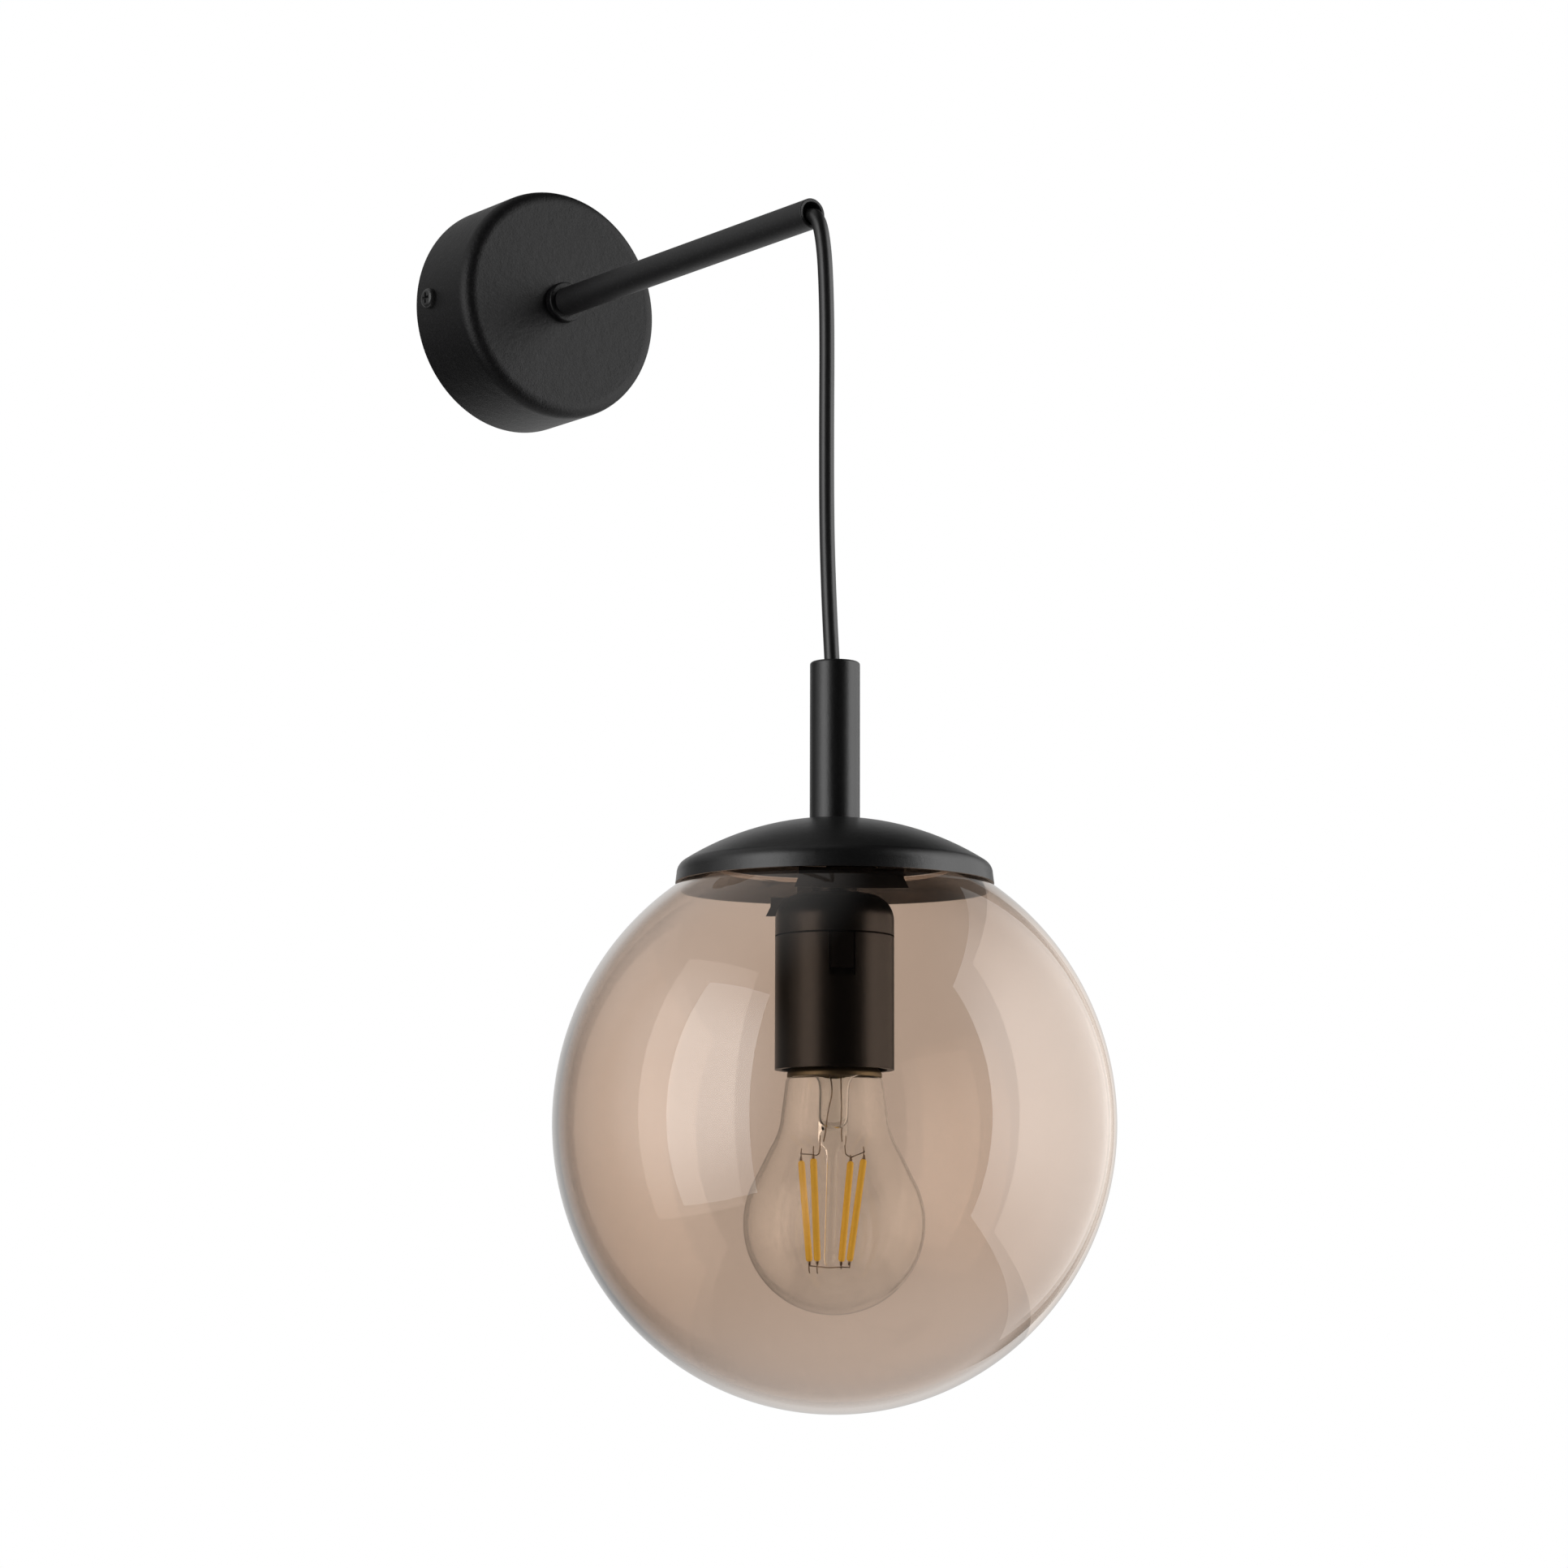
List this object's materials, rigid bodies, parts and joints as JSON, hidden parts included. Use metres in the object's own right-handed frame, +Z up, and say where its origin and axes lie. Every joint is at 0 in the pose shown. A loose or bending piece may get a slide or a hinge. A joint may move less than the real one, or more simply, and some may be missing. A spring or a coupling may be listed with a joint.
{
  "type": "globe wall sconce",
  "caption": "Wall light: a round canopy, a straight arm, and a smoked glass globe that hangs from the arm's open end on a round cable, with a filament bulb in its lampholder.",
  "frame": {"origin": "middle of the canopy's open back, on the wall's face", "axes": "+Y into the wall, the arm stands out along -Y, +X to the right, +Z up"},
  "size_m": [0.1864, 0.2942, 0.4506],
  "materials": {
    "black_powder_coat": "matt, fine textured black powder coat",
    "black_screws": "satin black",
    "plated_steel": "zinc plated, satin",
    "spring_steel": "dark bare spring steel",
    "brass": "bare, satin",
    "cable_black": "smooth black cable sheath",
    "core_brown": "smooth",
    "core_blue": "smooth",
    "core_green_yellow": "smooth",
    "block_white": "moulded",
    "smoked_glass": "smooth, brown grey tint",
    "clear_glass": "smooth, clear",
    "holder_black": "moulded, semi gloss black",
    "cap_metal": "thin pressed sheet, satin",
    "insulator_black": "glazed",
    "filament_yellow": "silicone coated",
    "wire_metal": "drawn wire",
    "board_white": "printed board"
  },
  "bodies": {
    "wall_side": {"wall_bracket": "plated_steel", "canopy_cup": "black_powder_coat", "canopy_screws": "black_screws", "arm_tube": "black_powder_coat", "arm_collar": "black_powder_coat", "arm_lock_washer": "plated_steel", "arm_nut": "plated_steel", "cord_stop": "plated_steel", "cord_stop_screw": "plated_steel", "terminal_block": "block_white", "terminal_clamps": "brass", "terminal_screws": "plated_steel", "terminal_fixing_screw": "plated_steel", "earth_lug": "plated_steel", "earth_screw": "brass", "earth_wire": "core_green_yellow", "live_core": "core_brown", "neutral_core": "core_blue", "cable_in_arm": "cable_black"},
    "cord_top": {"cable_bend": "cable_black"},
    "cord_hang": {"cable_drop": "cable_black"},
    "pendant": {"stem_tube": "black_powder_coat", "cord_grip": "cable_black", "cable_in_stem": "cable_black", "threaded_nipple": "plated_steel", "cap_dome": "black_powder_coat", "glass_holder": "spring_steel", "cap_lock_washer": "plated_steel", "cap_nut": "plated_steel", "glass_globe": "smoked_glass", "lampholder_nut": "plated_steel", "lampholder_dome": "holder_black", "lampholder_skirt": "holder_black", "lampholder_core": "holder_black", "lampholder_terminal_screws": "brass", "screw_shell": "brass", "centre_contact": "brass", "holder_live_core": "core_brown", "holder_neutral_core": "core_blue"},
    "bulb_base": {"bulb_contact": "wire_metal", "bulb_insulator": "insulator_black"},
    "bulb": {"bulb_cap": "cap_metal", "bulb_glass": "clear_glass", "bulb_stem": "clear_glass", "filaments": "filament_yellow", "filament_wires": "wire_metal", "lead_wires": "wire_metal", "driver_board": "board_white"}
  },
  "joints": [
    {"name": "swing_side", "type": "hinge", "parent": "wall_side", "child": "cord_top", "pos_m": [0, -0.188, 0], "axis": [0, 1, 0], "range_deg": [-20, 20]},
    {"name": "swing_out", "type": "hinge", "parent": "cord_top", "child": "cord_hang", "pos_m": [0, -0.19535, -0.0205], "axis": [-1, 0, 0], "range_deg": [-15, 25]},
    {"name": "pendant_twist", "type": "hinge", "parent": "cord_hang", "child": "pendant", "pos_m": [0, -0.201, -0.1876], "axis": [0, 0, 1], "range_deg": [-90, 90]},
    {"name": "bulb_travel", "type": "slide", "parent": "pendant", "child": "bulb_base", "axis": [0, 0, 1], "range_m": [-0.0254, 0]},
    {"name": "bulb_turn", "type": "hinge", "parent": "bulb_base", "child": "bulb", "pos_m": [0, -0.201, -0.3], "axis": [0, 0, 1], "range_deg": [-2520, 0]}
  ],
  "couplings": [
    {"joint": "bulb_travel", "follows": "bulb_turn", "m_per_rad": 0.000576}
  ]
}
